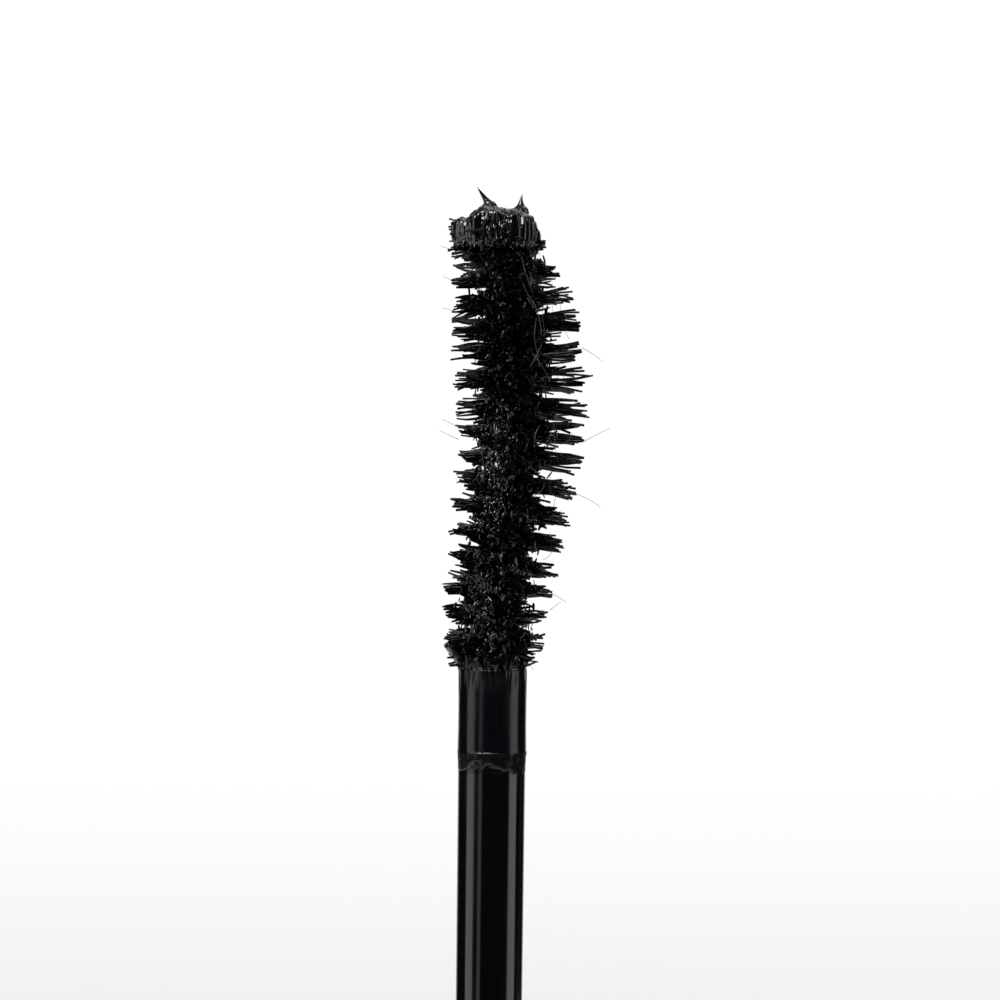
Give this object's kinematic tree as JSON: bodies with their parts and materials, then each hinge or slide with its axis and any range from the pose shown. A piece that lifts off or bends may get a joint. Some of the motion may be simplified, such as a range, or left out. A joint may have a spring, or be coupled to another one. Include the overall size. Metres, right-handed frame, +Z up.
{
  "type": "mascara tube with wand",
  "caption": "Open mascara: upright screw-neck tube beside its wand, which stands on its cap with a curved twisted-wire brush up.",
  "frame": {"origin": "centre of the underside of the wand's cap, on the surface the set stands on", "axes": "+Z up along the wand and the tube; the tube stands at +X +Y from the wand; the brush bows towards +X"},
  "size_m": [0.063, 0.044, 0.1207],
  "materials": {
    "gloss_black": "polished moulded black plastic",
    "trim_metal": "turned anodised aluminium",
    "liner_plastic": "plain moulded",
    "bottle_plastic": "moulded",
    "stem_plastic": "polished moulded rod",
    "wire_steel": "drawn wire",
    "wiper_rubber": "soft moulded elastomer",
    "washer_foam": "closed-cell foam liner",
    "mascara": "wet black pigment paste",
    "mascara_film": "dried thin film",
    "bristle_nylon": "fine fibres loaded with mascara"
  },
  "bodies": {
    "tube": {"tube_shell": "gloss_black", "tube_collar": "trim_metal", "foot_cap": "gloss_black", "bottle": "bottle_plastic", "bottle_plug": "bottle_plastic", "wiper": "wiper_rubber", "mascara_fill": "mascara"},
    "washer": {"sealing_washer": "washer_foam"},
    "wand": {"cap_shell": "gloss_black", "cap_collar": "trim_metal", "cap_liner": "liner_plastic", "stem": "stem_plastic", "core_wire": "wire_steel", "brush_coat": "mascara", "stem_film": "mascara_film", "bristle_row_01": "bristle_nylon", "bristle_row_02": "bristle_nylon", "bristle_row_03": "bristle_nylon", "bristle_row_04": "bristle_nylon", "bristle_row_05": "bristle_nylon", "bristle_row_06": "bristle_nylon", "bristle_row_07": "bristle_nylon", "bristle_row_08": "bristle_nylon", "bristle_row_09": "bristle_nylon", "bristle_row_10": "bristle_nylon", "bristle_row_11": "bristle_nylon", "bristle_row_12": "bristle_nylon", "bristle_row_13": "bristle_nylon", "bristle_row_14": "bristle_nylon", "bristle_row_15": "bristle_nylon", "bristle_row_16": "bristle_nylon", "bristle_row_17": "bristle_nylon"}
  },
  "joints": [
    {"name": "wand_lift", "type": "slide", "parent": "tube", "child": "washer", "axis": [0, 0, 1], "range_m": [0, 0.077]},
    {"name": "wand_turn", "type": "hinge", "parent": "washer", "child": "wand", "pos_m": [0, 0, 0.0436], "axis": [0, 0, 1], "continuous": true}
  ]
}
